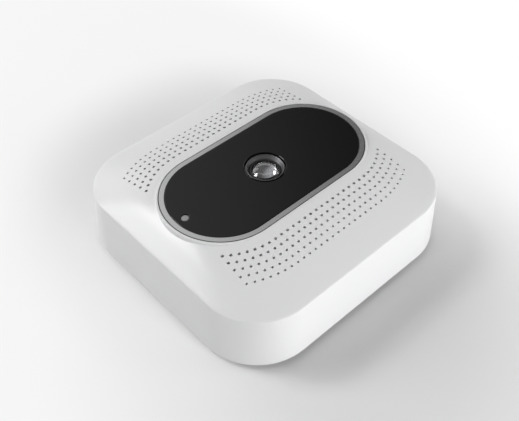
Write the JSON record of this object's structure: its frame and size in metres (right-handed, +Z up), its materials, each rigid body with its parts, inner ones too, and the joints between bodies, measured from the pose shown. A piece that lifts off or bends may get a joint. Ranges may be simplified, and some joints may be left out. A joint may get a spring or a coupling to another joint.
{
  "type": "smart home hub",
  "caption": "Low square hub with rounded corners and a domed top, a black stadium panel with a camera lens, perforated speaker grilles, a power inlet and keyholes for hanging.",
  "frame": {"origin": "under the middle of the housing, on the surface that the feet stand on", "axes": "+Z up out of the front panel, +X along the panel towards the wall with the power inlet, +Y towards the rear grille"},
  "size_m": [0.119, 0.115, 0.0359],
  "materials": {
    "white_plastic": "fine satin moulded surface",
    "bezel_metal": "satin anodised",
    "black_panel": "polished black",
    "trim_metal": "dark satin",
    "lens_glass": "coated optical glass",
    "black_plastic": "matt black",
    "rubber_black": "matt rubber",
    "foam_grey": "closed cell foam",
    "grille_fabric": "woven acoustic cloth",
    "cone_fibre": "pressed fibre",
    "screw_steel": "zinc plated",
    "sheet_steel": "tinned sheet",
    "aluminium_plate": "plain",
    "brass_sheet": "plain",
    "board_laminate": "solder mask over glass fibre",
    "chip_plastic": "moulded chip case",
    "light_plastic": "clear smoke",
    "connector_plastic": "nylon",
    "lead_jacket": "soft jacket"
  },
  "bodies": {
    "housing": {"top_cover": "white_plastic", "base_cover": "white_plastic", "rubber_feet": "rubber_black", "case_screws": "screw_steel", "bezel_ring": "bezel_metal", "panel_gasket": "rubber_black", "front_panel": "black_panel", "lens_trim": "trim_metal", "front_lens": "lens_glass", "middle_lens": "lens_glass", "rear_lens": "lens_glass", "lens_spacer": "bezel_metal", "lens_barrel": "black_plastic", "lens_holder": "black_plastic", "infrared_filter": "lens_glass", "image_sensor": "chip_plastic", "sensor_board": "board_laminate", "sensor_board_screws": "screw_steel", "status_light_pipe": "light_plastic", "status_led": "connector_plastic", "ribbon_cable": "connector_plastic", "ribbon_sockets": "connector_plastic", "grille_cloth_front": "grille_fabric", "grille_cloth_rear": "grille_fabric", "speaker_gasket_front": "foam_grey", "speaker_gasket_rear": "foam_grey", "speaker_frame_front": "black_plastic", "speaker_frame_rear": "black_plastic", "speaker_magnet_front": "sheet_steel", "speaker_magnet_rear": "sheet_steel", "speaker_surround_front": "rubber_black", "speaker_surround_rear": "rubber_black", "speaker_screws": "screw_steel", "speaker_lead_front": "lead_jacket", "speaker_lead_rear": "lead_jacket", "speaker_sockets": "connector_plastic", "main_board": "board_laminate", "main_board_screws": "screw_steel", "processor": "chip_plastic", "thermal_pad": "foam_grey", "processor_shield": "sheet_steel", "heat_spreader": "aluminium_plate", "radio_module": "sheet_steel", "antenna_front": "brass_sheet", "antenna_rear": "brass_sheet", "power_capacitors": "chip_plastic", "power_inductor": "chip_plastic", "usb_c_socket": "sheet_steel", "reset_switch": "black_plastic"},
    "button": {"reset_button": "white_plastic"},
    "front_cone": {"speaker_cone_front": "cone_fibre"},
    "rear_cone": {"speaker_cone_rear": "cone_fibre"}
  },
  "joints": [
    {"name": "reset_press", "type": "slide", "parent": "housing", "child": "button", "axis": [-1, 0, 0], "range_m": [0, 0.0005], "stiffness_N_per_m": 1500},
    {"name": "front_cone_travel", "type": "slide", "parent": "housing", "child": "front_cone", "axis": [0, 0, 1], "range_m": [-0.0008, 0.0008], "stiffness_N_per_m": 1500},
    {"name": "rear_cone_travel", "type": "slide", "parent": "housing", "child": "rear_cone", "axis": [0, 0, 1], "range_m": [-0.0008, 0.0008], "stiffness_N_per_m": 1500}
  ]
}
